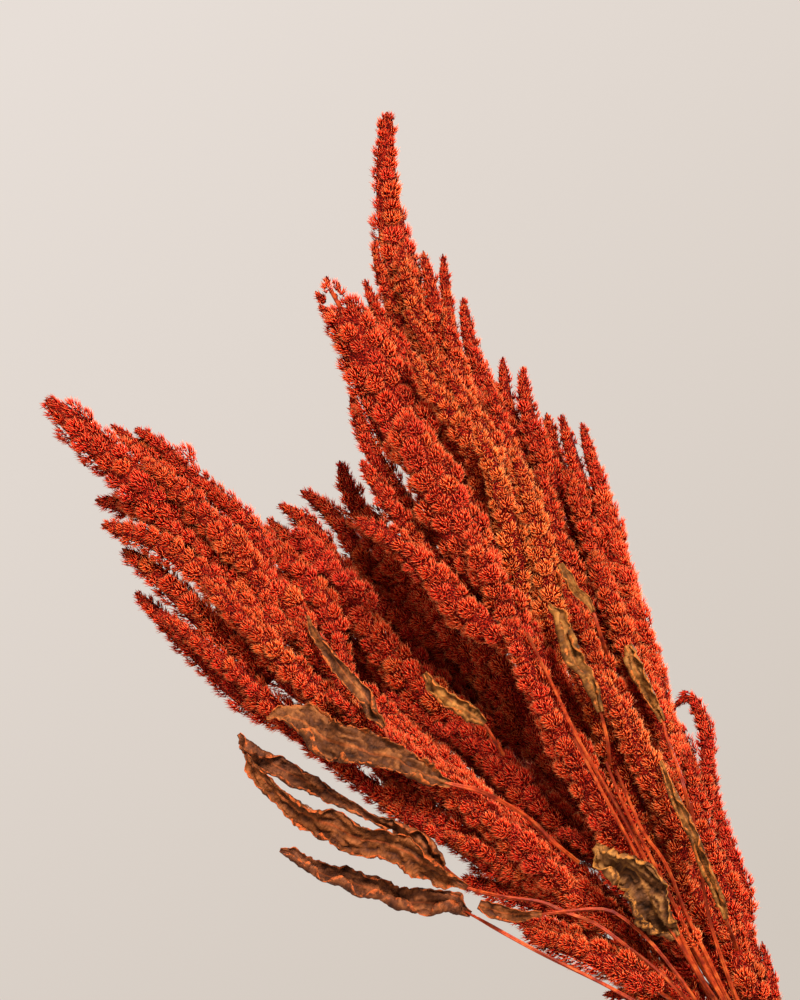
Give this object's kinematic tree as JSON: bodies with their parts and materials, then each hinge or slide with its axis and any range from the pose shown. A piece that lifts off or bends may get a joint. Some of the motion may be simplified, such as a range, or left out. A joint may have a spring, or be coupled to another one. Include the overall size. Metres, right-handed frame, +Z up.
{
  "type": "dried amaranth bunch in a vase",
  "caption": "Bunch of dried red-orange amaranth with upright flower spikes, bare stalks and crumpled leaves, leaning out of a plain stoneware vase.",
  "frame": {"origin": "middle of the vase's foot, on the surface that it stands on", "axes": "+Z up along the vase's axis, +Y away from the viewer, +X to the viewer's right; the bunch leans towards -X"},
  "size_m": [0.4632, 0.2192, 0.7],
  "materials": {
    "stoneware": "matt pale stoneware",
    "amaranth": "dry papery red-orange flower bracts",
    "dry_leaf": "dry brown crumpled leaf"
  },
  "bodies": {
    "root": {"vase": "stoneware", "plant_top": "amaranth", "plant_second": "amaranth", "plant_left": "amaranth", "plant_middle": "amaranth", "plant_right": "amaranth", "plant_lower": "amaranth", "plant_back_top": "amaranth", "plant_back_left": "amaranth", "plant_back_right": "amaranth", "plant_back_middle": "amaranth", "plant_back_low": "amaranth", "leaf_folded": "dry_leaf", "leaf_long": "dry_leaf", "leaf_narrow": "dry_leaf", "leaf_low": "dry_leaf", "leaf_broad": "dry_leaf", "leaf_strip": "dry_leaf", "leaf_middle": "dry_leaf", "leaf_tan": "dry_leaf", "leaf_small": "dry_leaf", "leaf_right": "dry_leaf", "leaf_stripe": "dry_leaf", "leaf_crumpled": "dry_leaf"}
  },
  "joints": []
}
